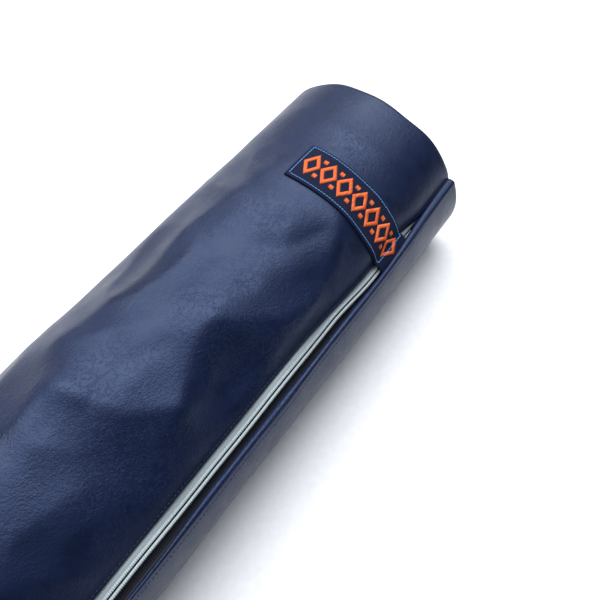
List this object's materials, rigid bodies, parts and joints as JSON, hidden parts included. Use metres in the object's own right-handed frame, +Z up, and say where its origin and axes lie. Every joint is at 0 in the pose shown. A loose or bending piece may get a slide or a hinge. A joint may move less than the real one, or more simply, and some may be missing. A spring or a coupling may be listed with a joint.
{
  "type": "ski bag",
  "caption": "Long tube bag of coated fabric with a coil zip along its front, a hemmed flap beside the zip, a woven label over the zip's end and a webbing carry handle.",
  "frame": {"origin": "on the surface the bag lies on, under the middle of its box", "axes": "+X along the bag to its tip end, -Y to the side with the zip, +Z up"},
  "size_m": [1.9, 0.192, 0.1326],
  "materials": {
    "coated_fabric": "satin-gloss PVC-coated fabric with a fine grain, navy",
    "zip_tape": "woven polyester, light grey",
    "zip_coil": "nylon coil, grey",
    "slider_metal": "plated die-cast metal",
    "label_weave": "navy woven polyester tape with an orange motif",
    "webbing": "navy polypropylene webbing",
    "binding": "woven binding tape over the inside seams"
  },
  "bodies": {
    "shell": {"lower_panel_back": "coated_fabric", "lower_panel_base": "coated_fabric", "lower_panel_front": "coated_fabric", "tip_end_panel": "coated_fabric", "tail_end_panel": "coated_fabric", "tip_seam_binding": "binding", "tail_seam_binding": "binding", "back_seam_binding": "binding", "lower_zip_tape": "zip_tape", "lower_zip_coil": "zip_coil", "lower_top_stop": "slider_metal", "upper_top_stop": "slider_metal", "bottom_stop": "slider_metal", "label_tape": "label_weave", "tail_zip_tab": "coated_fabric"},
    "mouth": {"upper_panel_back": "coated_fabric", "upper_panel_crown": "coated_fabric", "upper_panel_front": "coated_fabric", "upper_zip_tape": "zip_tape", "upper_zip_coil": "zip_coil", "tip_handle_patch": "coated_fabric", "tail_handle_patch": "coated_fabric", "tip_handle_foot": "webbing", "tail_handle_foot": "webbing"},
    "slider": {"slider_body": "slider_metal"},
    "tab": {"pull_tab": "slider_metal"},
    "handle": {"handle_strap": "webbing", "handle_grip": "coated_fabric"}
  },
  "joints": [
    {"name": "mouth_open", "type": "hinge", "parent": "shell", "child": "mouth", "pos_m": [0, 0.096, 0.068], "axis": [-1, 0, 0], "range_deg": [0, 35], "deforming": ["upper_zip_tape", "upper_zip_coil", "label_tape", "tail_zip_tab"]},
    {"name": "zip_travel", "type": "slide", "parent": "shell", "child": "slider", "axis": [1, 0, 0], "range_m": [0, 1.6]},
    {"name": "pull_tab_flip", "type": "hinge", "parent": "slider", "child": "tab", "pos_m": [-0.8417, -0.07879, 0.08231], "axis": [0, -0.9063, -0.4226], "range_deg": [0, 170]},
    {"name": "handle_swing", "type": "hinge", "parent": "mouth", "child": "handle", "pos_m": [0, 0.00749, 0.1326], "axis": [-1, 0, 0], "range_deg": [0, 110]}
  ],
  "couplings": [
    {"joint": "zip_travel", "follows": "mouth_open", "m_per_rad": 2.6192}
  ]
}
